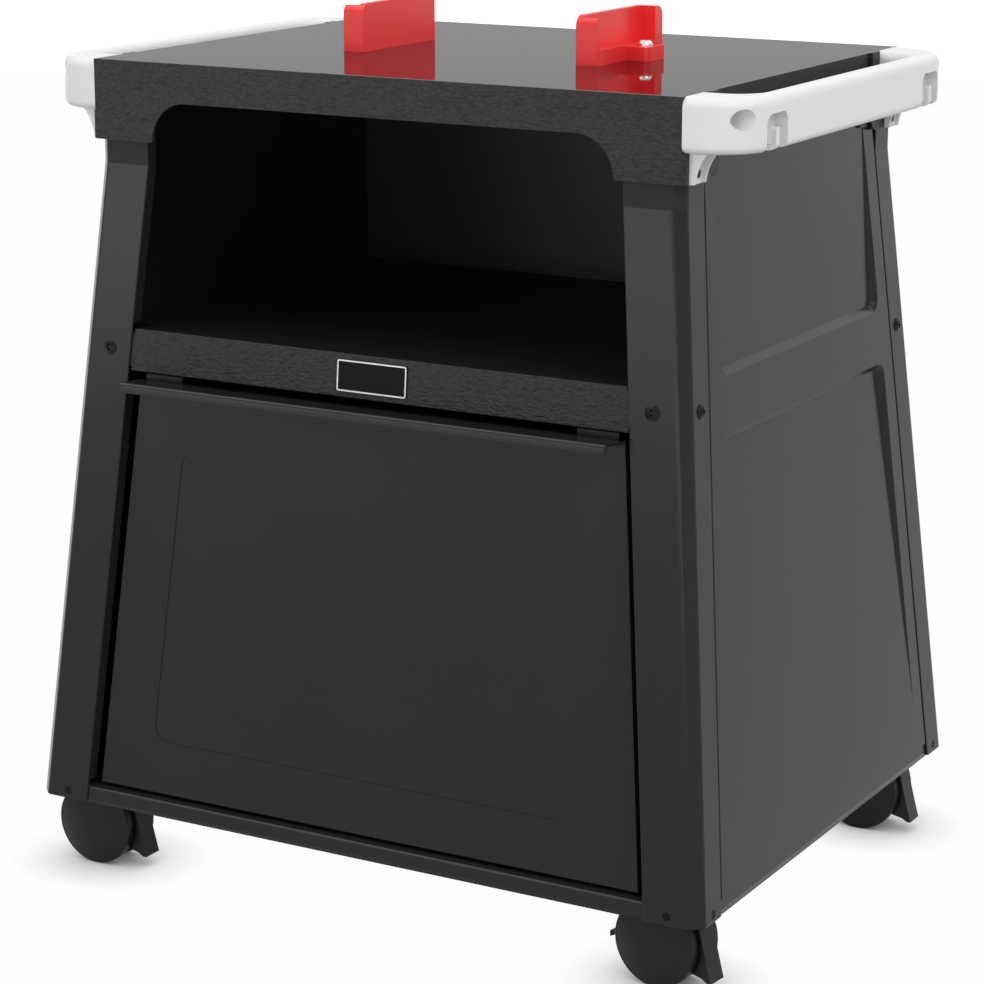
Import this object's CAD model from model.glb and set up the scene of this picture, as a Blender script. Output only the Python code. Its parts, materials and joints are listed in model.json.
# Grill stand on casters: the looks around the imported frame. Metres, Z up, the front faces -Y.
import json
import math

import bmesh
import bpy
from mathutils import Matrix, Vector


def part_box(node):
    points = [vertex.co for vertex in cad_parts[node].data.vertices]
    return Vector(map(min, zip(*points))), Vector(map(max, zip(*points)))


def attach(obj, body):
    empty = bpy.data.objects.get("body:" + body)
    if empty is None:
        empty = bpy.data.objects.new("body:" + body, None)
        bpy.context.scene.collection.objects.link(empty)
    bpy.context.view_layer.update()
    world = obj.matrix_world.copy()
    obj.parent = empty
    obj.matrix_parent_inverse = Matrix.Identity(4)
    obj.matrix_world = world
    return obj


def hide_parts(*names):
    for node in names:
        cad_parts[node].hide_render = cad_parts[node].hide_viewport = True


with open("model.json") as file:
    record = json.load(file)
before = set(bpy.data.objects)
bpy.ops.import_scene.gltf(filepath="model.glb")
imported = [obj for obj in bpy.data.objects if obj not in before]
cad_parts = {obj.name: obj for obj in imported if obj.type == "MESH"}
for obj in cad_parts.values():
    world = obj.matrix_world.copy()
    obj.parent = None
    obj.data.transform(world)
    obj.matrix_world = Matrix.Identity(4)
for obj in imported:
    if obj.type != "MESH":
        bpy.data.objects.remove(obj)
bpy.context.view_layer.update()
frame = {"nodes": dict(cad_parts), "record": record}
nodes = frame["nodes"]
scene = bpy.context.scene
mm = 0.001
print("frame loaded:", len(nodes), "nodes")


def linear(hexText):
    # sRGB hex to linear RGBA
    parts = [int(hexText[i:i + 2], 16) / 255 for i in (1, 3, 5)]
    return [p / 12.92 if p <= 0.04045 else ((p + 0.055) / 1.055) ** 2.4 for p in parts] + [1.0]


def addNode(tree, kind, inputs=None, **settings):
    # one node with its settings; an input is a value, or a socket to link from
    node = tree.nodes.new(kind)
    for key, value in settings.items():
        setattr(node, key, value)
    for key, value in (inputs or {}).items():
        if isinstance(value, bpy.types.NodeSocket):
            tree.links.new(value, node.inputs[key])
        else:
            node.inputs[key].default_value = value
    return node


def newMaterial(name):
    material = bpy.data.materials.new(name)
    material.use_nodes = True
    material.node_tree.nodes.clear()
    return material, material.node_tree


def closeMaterial(tree, shader):
    addNode(tree, "ShaderNodeOutputMaterial", {"Surface": shader.outputs[0]})


def perMetre(millimetres):
    # texture scale whose cell is this many millimetres wide
    return 1.0 / (millimetres * mm)


def powderCoat(name, hexDark, hexPale, roughness, specular, peel):
    # polyester powder coat on steel sheet: a satin skin, clouded a little, with a faint orange peel
    material, tree = newMaterial(name)
    spot = addNode(tree, "ShaderNodeTexCoord").outputs["Object"]
    cloud = addNode(tree, "ShaderNodeTexNoise", {"Vector": spot, "Scale": perMetre(120), "Detail": 3.0})
    tone = addNode(tree, "ShaderNodeMix", {
        "Factor": cloud.outputs["Fac"], "A": linear(hexDark), "B": linear(hexPale)}, data_type="RGBA")
    skin = addNode(tree, "ShaderNodeTexNoise", {"Vector": spot, "Scale": perMetre(2.2), "Detail": 2.0})
    bump = addNode(tree, "ShaderNodeBump", {
        "Height": skin.outputs["Fac"], "Strength": peel, "Distance": 0.1 * mm})
    rough = addNode(tree, "ShaderNodeMapRange", {"Value": skin.outputs["Fac"], "To Min": roughness - 0.03,
                                                 "To Max": roughness + 0.03})
    shader = addNode(tree, "ShaderNodeBsdfPrincipled", {
        "Base Color": tone.outputs["Result"], "Roughness": rough.outputs["Result"],
        "Normal": bump.outputs["Normal"], "Specular IOR Level": specular})
    closeMaterial(tree, shader)
    return material


def glossEnamel(name, hexDark, hexPale):
    # fired gloss enamel on steel: black glass over a slightly uneven ground, sharp mirror images at a low angle
    material, tree = newMaterial(name)
    spot = addNode(tree, "ShaderNodeTexCoord").outputs["Object"]
    flow = addNode(tree, "ShaderNodeTexNoise", {"Vector": spot, "Scale": perMetre(45), "Detail": 1.0})
    tone = addNode(tree, "ShaderNodeMix", {
        "Factor": flow.outputs["Fac"], "A": linear(hexDark), "B": linear(hexPale)}, data_type="RGBA")
    bump = addNode(tree, "ShaderNodeBump", {
        "Height": flow.outputs["Fac"], "Strength": 0.02, "Distance": 0.1 * mm})
    rough = addNode(tree, "ShaderNodeMapRange", {"Value": flow.outputs["Fac"], "To Min": 0.03, "To Max": 0.06})
    shader = addNode(tree, "ShaderNodeBsdfPrincipled", {
        "Base Color": tone.outputs["Result"], "Roughness": rough.outputs["Result"],
        "Normal": bump.outputs["Normal"], "Specular IOR Level": 0.5})
    closeMaterial(tree, shader)
    return material


def grainedPlastic(name, hexDark, hexPale):
    # polypropylene moulded against a leather-grained tool: low wrinkles lying sideways, dark creases between them
    material, tree = newMaterial(name)
    spot = addNode(tree, "ShaderNodeTexCoord").outputs["Object"]
    flat = addNode(tree, "ShaderNodeMapping", {"Vector": spot, "Scale": (0.42, 0.42, 1.0)})
    warp = addNode(tree, "ShaderNodeTexNoise", {"Vector": flat.outputs[0], "Scale": perMetre(6), "Detail": 2.0})
    bent = addNode(tree, "ShaderNodeVectorMath", {0: warp.outputs["Color"], 1: (0.006, 0.006, 0.006),
                                                  2: flat.outputs[0]}, operation="MULTIPLY_ADD")
    pebble = addNode(tree, "ShaderNodeTexVoronoi", {"Vector": bent.outputs["Vector"], "Scale": perMetre(2.0),
                                                    "Smoothness": 0.3}, feature="SMOOTH_F1")
    fine = addNode(tree, "ShaderNodeTexNoise", {"Vector": flat.outputs[0], "Scale": perMetre(1.3), "Detail": 3.0})
    height = addNode(tree, "ShaderNodeMath", {0: fine.outputs["Fac"], 1: -0.3, 2: pebble.outputs["Distance"]},
                     operation="MULTIPLY_ADD")
    bump = addNode(tree, "ShaderNodeBump", {
        "Height": height.outputs["Value"], "Strength": 0.9, "Distance": 0.8 * mm}, invert=True)
    tone = addNode(tree, "ShaderNodeMix", {"Factor": pebble.outputs["Distance"], "A": linear(hexPale),
                                           "B": linear(hexDark)}, data_type="RGBA")
    shader = addNode(tree, "ShaderNodeBsdfPrincipled", {
        "Base Color": tone.outputs["Result"], "Roughness": 0.4, "Normal": bump.outputs["Normal"],
        "Specular IOR Level": 0.2})
    closeMaterial(tree, shader)
    return material


def mouldedPlastic(name, hexDark, hexPale, roughness, cell, strength, specular=0.5):
    # injection-moulded plastic: an even colour and the soft frost of a spark-eroded tool
    material, tree = newMaterial(name)
    spot = addNode(tree, "ShaderNodeTexCoord").outputs["Object"]
    cloud = addNode(tree, "ShaderNodeTexNoise", {"Vector": spot, "Scale": perMetre(60), "Detail": 2.0})
    tone = addNode(tree, "ShaderNodeMix", {
        "Factor": cloud.outputs["Fac"], "A": linear(hexDark), "B": linear(hexPale)}, data_type="RGBA")
    frost = addNode(tree, "ShaderNodeTexNoise", {"Vector": spot, "Scale": perMetre(cell), "Detail": 2.0})
    bump = addNode(tree, "ShaderNodeBump", {
        "Height": frost.outputs["Fac"], "Strength": strength, "Distance": 0.1 * mm})
    rough = addNode(tree, "ShaderNodeMapRange", {"Value": frost.outputs["Fac"], "To Min": roughness - 0.03,
                                                 "To Max": roughness + 0.03})
    shader = addNode(tree, "ShaderNodeBsdfPrincipled", {
        "Base Color": tone.outputs["Result"], "Roughness": rough.outputs["Result"],
        "Normal": bump.outputs["Normal"], "Specular IOR Level": specular})
    closeMaterial(tree, shader)
    return material


def turnedSteel(name, hexDark, hexPale, roughness, cell):
    # plated steel: bright, with the fine marks of turning and polishing
    material, tree = newMaterial(name)
    spot = addNode(tree, "ShaderNodeTexCoord").outputs["Object"]
    marks = addNode(tree, "ShaderNodeTexNoise", {"Vector": spot, "Scale": perMetre(cell), "Detail": 4.0})
    tone = addNode(tree, "ShaderNodeMix", {
        "Factor": marks.outputs["Fac"], "A": linear(hexDark), "B": linear(hexPale)}, data_type="RGBA")
    rough = addNode(tree, "ShaderNodeMapRange", {"Value": marks.outputs["Fac"], "To Min": roughness - 0.06,
                                                 "To Max": roughness + 0.06})
    shader = addNode(tree, "ShaderNodeBsdfPrincipled", {
        "Base Color": tone.outputs["Result"], "Roughness": rough.outputs["Result"], "Metallic": 1.0})
    closeMaterial(tree, shader)
    return material


finishes = {
    "charcoal": powderCoat("charcoal powder coat on steel", "#242425", "#282829", 0.18, 0.16, 0.1),
    "grain": grainedPlastic("leather-grained polypropylene", "#1d1d1e", "#3a3a3b"),
    "enamel": glossEnamel("gloss black enamel on steel", "#040404", "#070707"),
    "liner": powderCoat("matt black powder coat on steel", "#131313", "#171717", 0.45, 0.35, 0.1),
    "fold": powderCoat("powder coat thinned over a fold", "#363637", "#3e3e3f", 0.3, 0.2, 0.05),
    "handle": mouldedPlastic("pale grey nylon", "#d9d9d8", "#dededd", 0.42, 1.2, 0.1),
    "red": mouldedPlastic("red polycarbonate", "#e32c2c", "#e83131", 0.3, 1.6, 0.03, 0.35),
    "steel": turnedSteel("polished plated steel", "#d8d8d8", "#ececec", 0.2, 0.8),
    "screw": mouldedPlastic("black zinc on steel", "#0b0b0b", "#121212", 0.3, 0.8, 0.05, 0.2),
    "caster": mouldedPlastic("black nylon", "#1e1e1f", "#222223", 0.36, 1.0, 0.06, 0.16),
    "rim": mouldedPlastic("pale printed line", "#dedede", "#e6e6e6", 0.4, 1.0, 0.05),
    "magnet": mouldedPlastic("black ABS", "#070707", "#0c0c0c", 0.5, 1.0, 0.1, 0.12),
}
slotFinish = {
    "charcoal_paint": "charcoal", "grain_plastic": "grain", "gloss_black_paint": "enamel",
    "pale_handle_plastic": "handle", "red_plastic": "red", "bright_steel": "steel", "black_screw_steel": "screw",
    "caster_plastic": "caster", "magnet_black": "magnet",
}
nodeSlot = {row["node"]: row["material_slot"] for row in frame["record"]["subparts"]}
nodeFinish = {node: slotFinish[slot] for node, slot in nodeSlot.items()}
for node in ("shelf", "liner_back", "left_liner_wall", "right_liner_wall"):
    nodeFinish[node] = "liner"  # the compartment is duller than the table
nodeFinish["hinge_pins"] = "screw"
nodeFinish["strike_plates"] = "liner"
nodeFinish["foot_screws"] = "magnet"
nodeBody = {node: body for body, held in frame["record"]["behaviour"]["bodies"].items() for node in held}


def dress(obj, finish):
    obj.data.materials.clear()
    obj.data.materials.append(finishes[finish])


for name, obj in nodes.items():
    dress(obj, nodeFinish[name])
print("materials:", len(finishes))

# the splayed planes that the legs and screws follow
stance = {"halfWidth": 274.0, "halfDepth": 208.5, "kink": 628.0, "foot": 70.0, "splay": 50.0}
legs = {"chamfer": 9.0, "frontFlange": 42.0, "sideFlange": 29.0}
slope = stance["splay"] / (stance["kink"] - stance["foot"])


def outward(height):
    return slope * (stance["kink"] - height)


# rounded edges in mm: "cut" where a sheet or moulding ends, "fold" where two broad faces meet; "crisp" is the angle
# in degrees from which a fold too flat to round stays a sharp line; the bevel clamps itself on "tight" shapes, and
# where a "side" is given only that side is rounded
rounding = {
    "angle": 28,  # degrees, flatter edges aren't rounded
    "flat": 0.4,  # degrees, flatter faces are joined first
    "merge": 0.002,  # mm, closer points are one
    "share": 0.4,  # of the room beside an edge
    "sideways": 0.85, "facing": 0.99,  # cosines
}
legEdges = {"cut": 0.6, "fold": 1.6, "steps": 2, "crisp": 2}
apronEdges = {"cut": 0.8, "fold": 1.2, "steps": 2, "crisp": 28, "tight": True}
panelEdges = {"cut": 0.6, "fold": 1.0, "steps": 2, "crisp": 28, "tight": True}
bracketEdges = {"cut": 1.6, "fold": 2.2, "steps": 3, "crisp": 28, "tight": True}
softEdges = {
    **{f"{end}_{side}_leg": legEdges for end in ("front", "rear") for side in ("right", "left")},
    "door": {"cut": 0.6, "fold": 2.4, "steps": 4, "crisp": 5, "side": (0, -1, slope)},
    "base_panel": {"cut": 0.6, "fold": 2.4, "steps": 4, "crisp": 28, "side": (0, 0, 1)},
    "tabletop": {"cut": 0.5, "fold": 0.8, "steps": 2, "crisp": 28},
    "front_apron": apronEdges,
    "rear_apron": apronEdges,
    "front_rail": {"cut": 0.6, "fold": 0.9, "steps": 2, "crisp": 28},
    "right_side_panel": panelEdges,
    "left_side_panel": panelEdges,
    "back_panel": {"cut": 0.6, "fold": 0.8, "steps": 2, "crisp": 28},
    "right_lock_bracket": bracketEdges,
    "left_lock_bracket": bracketEdges,
}
otherFaces = {  # faces of a node, by their spot and the way they look, with a finish of their own
    "tabletop": ("liner", lambda spot, way: abs(way.z) < 0.5),  # skirts
    "front_rail": ("liner", lambda spot, way: way.z > 0.7),  # top, beside the shelf
    "door": ("fold", lambda spot, way: spot.z > 0.4 and way.z > 0.3 and way.y < -0.3),  # lip's front edge
    "base_panel": ("fold", lambda spot, way: way.z > 0.3 and max(abs(way.x), abs(way.y)) > 0.3),  # upper edge
}
sheets = {  # mm
    "pressRise": 0.8,  # the door's pressing is raised by this
    "seat": 1.2,  # a panel's foot goes into the base by this
    "backGap": 6.0, "sideGap": 3.0,  # panels reach this far behind the legs' flanges
    "backEdge": 200.0,  # further out are the back sheet's edges
    "level": 0.5,  # heights this close are one
    "skin": 1.5, "depth": 0.5,  # below the outer face: the inner skin, and edges that don't show
    "broad": 4.0, "step": 1.2,  # a face this broad is folded, one narrower than a step stays sharp
}


def place(piece, body):
    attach(piece, body)


def broadest(work, way):
    # the largest face that looks this way
    facing = [face for face in work.faces if face.normal.dot(way) > rounding["facing"]]
    return max(facing, key=lambda face: face.calc_area())


def shallowPressing(work):
    # the pressed field shows as a faint line only
    out = Vector((0, -1, slope)).normalized()
    for v in broadest(work, out).verts:
        v.co += out * (sheets["pressRise"] * mm)


def hiddenEdges(work, side):
    # edges behind the broad face on the side that shows
    way = Vector(side).normalized()
    depth = broadest(work, way).verts[0].co.dot(way) - sheets["depth"] * mm
    return {edge for edge in work.edges if min(v.co.dot(way) for v in edge.verts) < depth}


def footPanel(work):
    # the sheet's lower edge stands on the base
    low = min(v.co.z for v in work.verts)
    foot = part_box("base_panel")[1][2] - sheets["seat"] * mm
    for v in work.verts:
        if v.co.z < low + sheets["level"] * mm:
            v.co.z += foot - low


def closeSide(work):
    # the foot stands on the base, and the inner skin's upright edges reach behind the legs' flanges
    footPanel(work)
    low, high = min(v.co.z for v in work.verts), max(v.co.z for v in work.verts)
    out = Vector((math.copysign(1, max((v.co.x for v in work.verts), key=abs)), 0, slope)).normalized()
    skin = max(v.co.dot(out) for v in work.verts) - sheets["skin"] * mm
    for end in (low, high):
        ends = [v for v in work.verts if abs(v.co.z - end) < sheets["level"] * mm]
        reach = max(abs(v.co.y) for v in ends) - mm
        for v in ends:
            if abs(v.co.y) > reach and v.co.dot(out) < skin:
                v.co.y += math.copysign(sheets["sideGap"] * mm, v.co.y)


def closeBack(work):
    # the back sheet meets the base and the legs' flanges
    footPanel(work)
    for v in work.verts:
        if abs(v.co.x) > sheets["backEdge"] * mm:
            v.co.x += math.copysign(sheets["backGap"] * mm, v.co.x)


shaping = {
    "door": shallowPressing,
    "right_side_panel": closeSide,
    "left_side_panel": closeSide,
    "back_panel": closeBack,
}


def sideRoom(edge):
    # shortest neighbour that leaves an end of the edge sideways
    lengths = [1.0]
    for v in edge.verts:
        along = (edge.other_vert(v).co - v.co).normalized()
        for other in v.link_edges:
            way = other.other_vert(v).co - v.co
            if other is not edge and abs(along.dot(way.normalized())) < rounding["sideways"]:
                lengths.append(way.length)
    return min(lengths)


def edgeWeight(edge, sizes):
    # share of the fold's rounding that an edge gets
    if not edge.is_manifold or edge.calc_face_angle() < math.radians(rounding["angle"]):
        return 0.0
    breadth = min(face.calc_area() for face in edge.link_faces) / max(edge.calc_length(), mm)
    if breadth < sheets["step"] * mm:
        return 0.0
    width = sizes["fold"] if breadth > sheets["broad"] * mm else sizes["cut"]
    room = rounding["share"] * min(breadth, sideRoom(edge))
    return min(width * mm, room) / (sizes["fold"] * mm)


def softEdged(node, sizes):
    # a copy of the node with its corners rounded, in place of it
    mesh = bpy.data.meshes.new(node + "_soft")
    work = bmesh.new()
    work.from_mesh(nodes[node].data)
    bmesh.ops.remove_doubles(work, verts=work.verts, dist=rounding["merge"] * mm)
    bmesh.ops.dissolve_limit(work, angle_limit=math.radians(rounding["flat"]), verts=work.verts, edges=work.edges)
    if node in shaping:
        shaping[node](work)
    folded = node.endswith("_leg")
    for face in work.faces:
        face.smooth = not folded
    weights = work.edges.layers.float.new("bevel_weight_edge")
    plain = hiddenEdges(work, sizes["side"]) if "side" in sizes else set()
    for edge in work.edges:
        edge[weights] = 0.0 if edge in plain else edgeWeight(edge, sizes)
        edge.smooth = not (edge.is_manifold and math.radians(sizes["crisp"]) < edge.calc_face_angle()
                           < math.radians(rounding["angle"]))
    work.to_mesh(mesh)
    work.free()
    piece = bpy.data.objects.new(node + "_soft", mesh)
    scene.collection.objects.link(piece)
    bevel = piece.modifiers.new("round", "BEVEL")
    bevel.width = sizes["fold"] * mm
    bevel.segments = sizes["steps"]
    bevel.limit_method = "WEIGHT"
    bevel.use_clamp_overlap = sizes.get("tight", False)  # the clamp is for all edges at once
    bevel.miter_outer = "MITER_ARC"
    if not folded:
        weigh = piece.modifiers.new("weigh", "WEIGHTED_NORMAL")
        weigh.weight = 100
        weigh.keep_sharp = True
    rounded = bpy.data.meshes.new_from_object(piece.evaluated_get(bpy.context.evaluated_depsgraph_get()))
    piece.modifiers.clear()
    piece.data = rounded
    dress(piece, nodeFinish[node])
    if node in otherFaces:
        finish, picked = otherFaces[node]
        piece.data.materials.append(finishes[finish])
        for face in piece.data.polygons:
            face.material_index = int(picked(face.center, face.normal))
    place(piece, nodeBody[node])
    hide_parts(node)


for node, sizes in softEdges.items():
    softEdged(node, sizes)
print("soft edges:", len(softEdges), "pieces")

screws = {
    "height": 472.3, "radius": 6.5, "rise": 3.0, "crown": 2.6,
    "slotLength": 6.4, "slotWidth": 1.5, "slotDepth": 1.7,
}


def screwTree(name, finish):
    # one pan head: a cylinder under a shallow dome, a crossed slot cut in, set on every point along its "facing"
    tree = bpy.data.node_groups.new(name, "GeometryNodeTree")
    tree.interface.new_socket("Geometry", in_out="INPUT", socket_type="NodeSocketGeometry")
    for key in ("radius", "rise", "crown", "slotLength", "slotWidth", "slotDepth"):
        tree.interface.new_socket(key, in_out="INPUT", socket_type="NodeSocketFloat")
    tree.interface.new_socket("Geometry", in_out="OUTPUT", socket_type="NodeSocketGeometry")
    given = addNode(tree, "NodeGroupInput").outputs
    halfRise = addNode(tree, "ShaderNodeMath", {0: given["rise"], 1: 0.5}, operation="MULTIPLY").outputs[0]
    lift = addNode(tree, "ShaderNodeCombineXYZ", {"Z": halfRise}).outputs[0]
    barrel = addNode(tree, "GeometryNodeMeshCylinder", {"Vertices": 40, "Radius": given["radius"],
                                                        "Depth": given["rise"]})
    barrel = addNode(tree, "GeometryNodeTransform", {"Geometry": barrel.outputs["Mesh"], "Translation": lift})
    square = addNode(tree, "ShaderNodeMath", {0: given["radius"], 1: 2.0}, operation="POWER").outputs[0]
    ratio = addNode(tree, "ShaderNodeMath", {0: square, 1: given["crown"]}, operation="DIVIDE").outputs[0]
    summed = addNode(tree, "ShaderNodeMath", {0: ratio, 1: given["crown"]}, operation="ADD").outputs[0]
    ball = addNode(tree, "ShaderNodeMath", {0: summed, 1: 0.5}, operation="MULTIPLY").outputs[0]
    sink = addNode(tree, "ShaderNodeMath", {0: given["rise"], 1: ball}, operation="SUBTRACT").outputs[0]
    dome = addNode(tree, "GeometryNodeMeshUVSphere", {"Segments": 48, "Rings": 48, "Radius": ball})
    dome = addNode(tree, "GeometryNodeTransform", {
        "Geometry": dome.outputs["Mesh"],
        "Translation": addNode(tree, "ShaderNodeCombineXYZ", {"Z": sink}).outputs[0]})
    head = addNode(tree, "GeometryNodeMeshBoolean", operation="INTERSECT", solver="EXACT")
    tree.links.new(barrel.outputs[0], head.inputs["Mesh 2"])
    tree.links.new(dome.outputs[0], head.inputs["Mesh 2"])
    deep = addNode(tree, "ShaderNodeMath", {0: given["slotDepth"], 1: 2.0}, operation="MULTIPLY").outputs[0]
    top = addNode(tree, "ShaderNodeCombineXYZ", {"Z": given["rise"]}).outputs[0]
    cut = addNode(tree, "GeometryNodeMeshBoolean", {"Mesh 1": head.outputs["Mesh"]}, operation="DIFFERENCE",
                  solver="EXACT")
    for first, second in (("slotLength", "slotWidth"), ("slotWidth", "slotLength")):
        size = addNode(tree, "ShaderNodeCombineXYZ", {"X": given[first], "Y": given[second], "Z": deep})
        bar = addNode(tree, "GeometryNodeMeshCube", {"Size": size.outputs[0]})
        bar = addNode(tree, "GeometryNodeTransform", {"Geometry": bar.outputs["Mesh"], "Translation": top})
        tree.links.new(bar.outputs[0], cut.inputs["Mesh 2"])
    facing = addNode(tree, "GeometryNodeInputNamedAttribute", {"Name": "facing"}, data_type="FLOAT_VECTOR")
    turn = addNode(tree, "FunctionNodeAlignRotationToVector", {"Vector": facing.outputs["Attribute"]}, axis="Z")
    spread = addNode(tree, "GeometryNodeInstanceOnPoints", {
        "Points": given["Geometry"], "Instance": cut.outputs["Mesh"], "Rotation": turn.outputs[0]})
    real = addNode(tree, "GeometryNodeRealizeInstances", {"Geometry": spread.outputs[0]})
    coat = addNode(tree, "GeometryNodeSetMaterial", {"Geometry": real.outputs[0], "Material": finishes[finish]})
    addNode(tree, "NodeGroupOutput", {"Geometry": coat.outputs[0]})
    return tree


def screwHeads(node, sizes, finish, spots):
    # spots: (place, facing) pairs in mm
    mesh = bpy.data.meshes.new(node + "_heads")
    mesh.from_pydata([Vector(spot) * mm for spot, facing in spots], [], [])
    facings = mesh.attributes.new("facing", "FLOAT_VECTOR", "POINT")
    for i, (spot, facing) in enumerate(spots):
        facings.data[i].vector = facing
    piece = bpy.data.objects.new(node + "_heads", mesh)
    scene.collection.objects.link(piece)
    tree = screwTree(node + "_tree", finish)
    heads = piece.modifiers.new("heads", "NODES")
    heads.node_group = tree
    for item in tree.interface.items_tree:
        if item.in_out == "INPUT" and item.name in sizes:
            heads[item.identifier] = sizes[item.name] * mm
    made = bpy.data.meshes.new_from_object(piece.evaluated_get(bpy.context.evaluated_depsgraph_get()))
    piece.modifiers.clear()
    piece.data = made
    made.set_sharp_from_angle(angle=math.radians(30))
    place(piece, nodeBody[node])
    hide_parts(node)
    print(node, len(made.polygons), "faces")


def legScrewSpots():
    z = screws["height"]
    x = stance["halfWidth"] + outward(z)
    y = stance["halfDepth"] + outward(z)
    onFront = x - legs["chamfer"] - legs["frontFlange"] / 2
    onSide = y - legs["chamfer"] - legs["sideFlange"] / 2
    return [
        spot
        for sx in (1, -1)
        for sy in (1, -1)
        for spot in (((sx * onFront, sy * y, z), (0, sy, slope)), ((sx * x, sy * onSide, z), (sx, 0, slope)))
    ]


screwHeads("leg_screws", screws, "screw", legScrewSpots())

badge = {"line": 1.2, "edge": 0.3, "rise": 0.2, "radius": 2.0, "steps": 6}


def roundedLoop(half, radius):
    # points of a rounded oblong about the origin, anticlockwise
    points = []
    for corner, (sx, sz) in enumerate([(1, 1), (-1, 1), (-1, -1), (1, -1)]):
        for i in range(badge["steps"] + 1):
            turn = math.radians(90 * (corner + i / badge["steps"]))
            points.append((sx * (half[0] - radius) + radius * math.cos(turn),
                           sz * (half[1] - radius) + radius * math.sin(turn)))
    return points


def badgeRim():
    # thin pale line round the bare plate, near its edge
    out = Vector((0, -1, slope)).normalized()
    up = Vector((0, slope, 1)).normalized()
    right = Vector((1, 0, 0))
    corners = [vertex.co for vertex in nodes["badge_plate"].data.vertices]
    spans = [[min(co.dot(way) for co in corners), max(co.dot(way) for co in corners)] for way in (right, up)]
    face = max(co.dot(out) for co in corners)
    middle = right * (sum(spans[0]) / 2) + up * (sum(spans[1]) / 2) + out * face
    half = [(high - low) / 2 - badge["edge"] * mm for low, high in spans]
    inner = [side - badge["line"] * mm for side in half]
    outerLoop = roundedLoop(half, badge["radius"] * mm)
    innerLoop = roundedLoop(inner, (badge["radius"] - badge["line"]) * mm)
    points = []
    for lift in (0.0, badge["rise"] * mm):
        for loop in (outerLoop, innerLoop):
            points += [middle + right * x + up * z + out * lift for x, z in loop]
    count = len(outerLoop)
    faces = []
    for i in range(count):
        j = (i + 1) % count
        outerLow, innerLow, outerHigh, innerHigh = [(k * count + i, k * count + j) for k in range(4)]
        faces += [
            (*outerHigh, *innerHigh[::-1]), (*outerLow, *outerHigh[::-1]),
            (*innerLow[::-1], *innerHigh), (*outerLow[::-1], *innerLow),
        ]
    mesh = bpy.data.meshes.new("badge_rim")
    mesh.from_pydata(points, [], faces)
    piece = bpy.data.objects.new("badge_rim", mesh)
    scene.collection.objects.link(piece)
    dress(piece, "rim")
    place(piece, "stand")


badgeRim()

# floor, light and camera
studio = {
    "floorRadius": 8.0, "floorForward": 2.0, "floorHex": "#a8a8a8", "floorGlow": 0.985, "contactReach": 0.06,
    "front": 4.4, "rear": 1.2, "sides": 1.0, "wall": 0.46, "ceiling": 0.86, "rearCeiling": 1.3,  # 1 is white
    "frontFade": (-0.85, -0.55), "rearFade": (0.55, 0.85), "ceilingFade": (0.3, 0.8),  # along Y
    "sweepTop": (0.02, 0.09), "wallTop": (0.16, 0.34),  # along Z
}


def buildFloor():
    mesh = bpy.data.meshes.new("floor")
    disc = bmesh.new()
    bmesh.ops.create_circle(disc, cap_ends=True, segments=96, radius=studio["floorRadius"])
    bmesh.ops.translate(disc, verts=disc.verts, vec=(0, -studio["floorForward"], 0))
    disc.to_mesh(mesh)
    disc.free()
    floor = bpy.data.objects.new("floor", mesh)
    scene.collection.objects.link(floor)
    material, tree = newMaterial("pale floor paper")
    paper = addNode(tree, "ShaderNodeBsdfDiffuse", {"Color": linear(studio["floorHex"])})
    contact = addNode(tree, "ShaderNodeAmbientOcclusion", {"Distance": studio["contactReach"]}, samples=16)
    white = addNode(tree, "ShaderNodeEmission", {"Color": contact.outputs["Color"], "Strength": 1.0})
    path = addNode(tree, "ShaderNodeLightPath").outputs
    seen = path["Is Camera Ray"]
    for way in ("Is Glossy Ray", "Is Transmission Ray"):
        seen = addNode(tree, "ShaderNodeMath", {0: seen, 1: path[way]}, operation="MAXIMUM").outputs[0]
    share = addNode(tree, "ShaderNodeMath", {0: seen, 1: studio["floorGlow"]}, operation="MULTIPLY").outputs[0]
    mixed = addNode(tree, "ShaderNodeMixShader", {0: share, 1: paper.outputs[0], 2: white.outputs[0]})
    closeMaterial(tree, mixed)
    mesh.materials.append(material)


def fade(tree, value, span, first, last):
    # smooth step from one level to another
    step = addNode(tree, "ShaderNodeMapRange", {
        "Value": value, "From Min": span[0], "From Max": span[1], "To Min": first, "To Max": last},
        interpolation_type="SMOOTHSTEP")
    return step.outputs["Result"]


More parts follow.
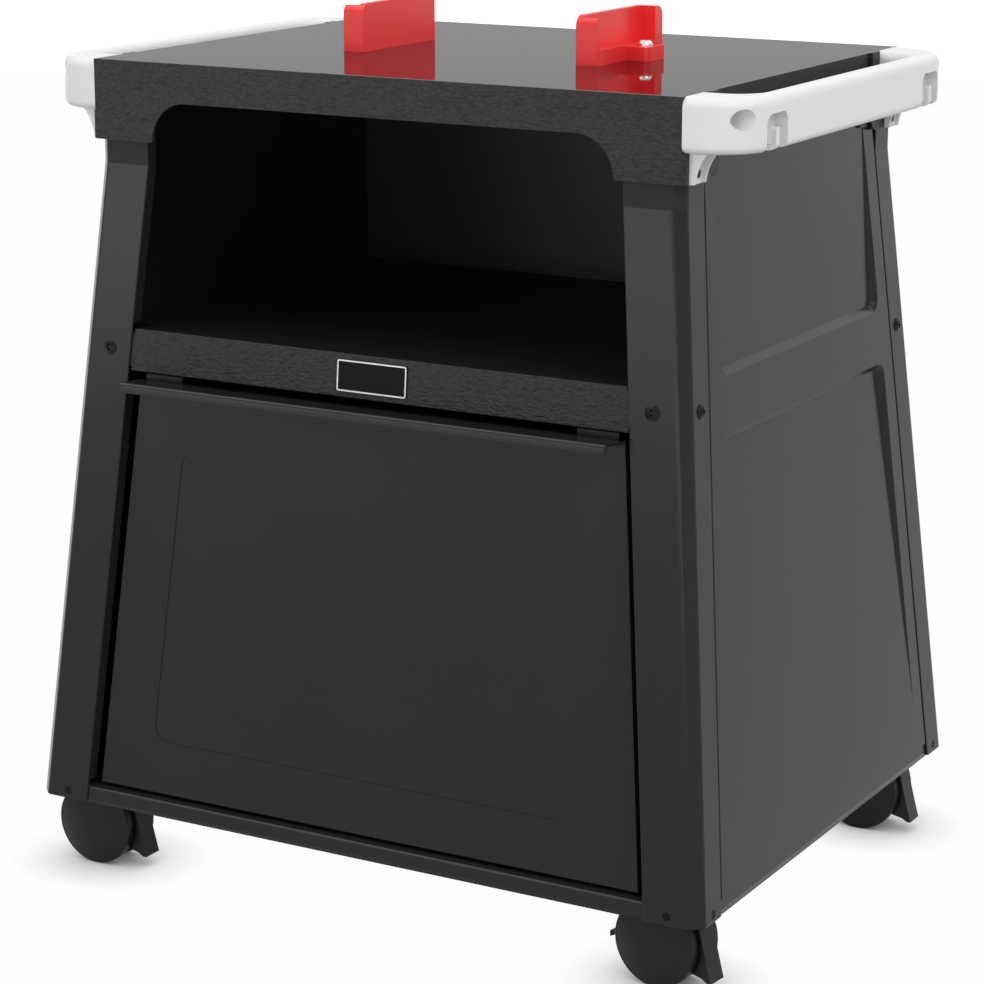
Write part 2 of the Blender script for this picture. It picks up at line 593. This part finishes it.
def buildWorld():
    # a pale room: bright sweeps before and behind the stand, dimmer walls above them, a light ceiling
    world = bpy.data.worlds.new("studio")
    world.use_nodes = True
    scene.world = world
    tree = world.node_tree
    tree.nodes.clear()
    way = addNode(tree, "ShaderNodeTexCoord").outputs["Generated"]
    across = addNode(tree, "ShaderNodeSeparateXYZ", {"Vector": way}).outputs
    before = fade(tree, across["Y"], studio["frontFade"], studio["front"], studio["sides"])
    sweep = fade(tree, across["Y"], studio["rearFade"], before, studio["rear"])
    high = fade(tree, across["Y"], studio["ceilingFade"], studio["ceiling"], studio["rearCeiling"])
    upper = fade(tree, across["Z"], studio["wallTop"], studio["wall"], high)
    level = fade(tree, across["Z"], studio["sweepTop"], sweep, upper)
    glow = addNode(tree, "ShaderNodeBackground", {"Color": (1, 1, 1, 1), "Strength": level})
    addNode(tree, "ShaderNodeOutputWorld", {"Surface": glow.outputs[0]})


def addLamp(name, spot, aim, size, power):
    lamp = bpy.data.lights.new(name, "AREA")
    lamp.shape = "RECTANGLE"
    lamp.size, lamp.size_y = size
    lamp.energy = power
    obj = bpy.data.objects.new(name, lamp)
    obj.location = spot
    obj.rotation_euler = (Vector(aim) - Vector(spot)).to_track_quat("-Z", "Y").to_euler()
    scene.collection.objects.link(obj)


lamps = [
    ("overhead", (-1.35, -0.8, 2.8), (0, 0, 0.5), (1.6, 1.6), 16),
    ("right fill", (2.2, -0.85, 2.6), (0, 0, 0.5), (1.6, 1.6), 28),
]
shot = {
    "eye": (1.2584, -2.2357, 0.9842), "azimuth": 29.574, "elevation": 14.352, "lens": 109.43, "sensor": 36.0,
    "clip": (0.05, 120.0),
}


def buildCamera():
    camera = bpy.data.cameras.new("photo camera")
    camera.lens = shot["lens"]
    camera.sensor_width = shot["sensor"]
    camera.clip_start, camera.clip_end = shot["clip"]
    obj = bpy.data.objects.new("photo_camera", camera)
    obj.location = shot["eye"]
    obj.rotation_euler = (math.radians(90 - shot["elevation"]), 0, math.radians(shot["azimuth"]))
    scene.collection.objects.link(obj)
    scene.camera = obj


buildFloor()
buildWorld()
for lamp in lamps:
    addLamp(*lamp)
buildCamera()
scene.view_settings.view_transform = "Standard"
print("stage, lamps and camera ready")
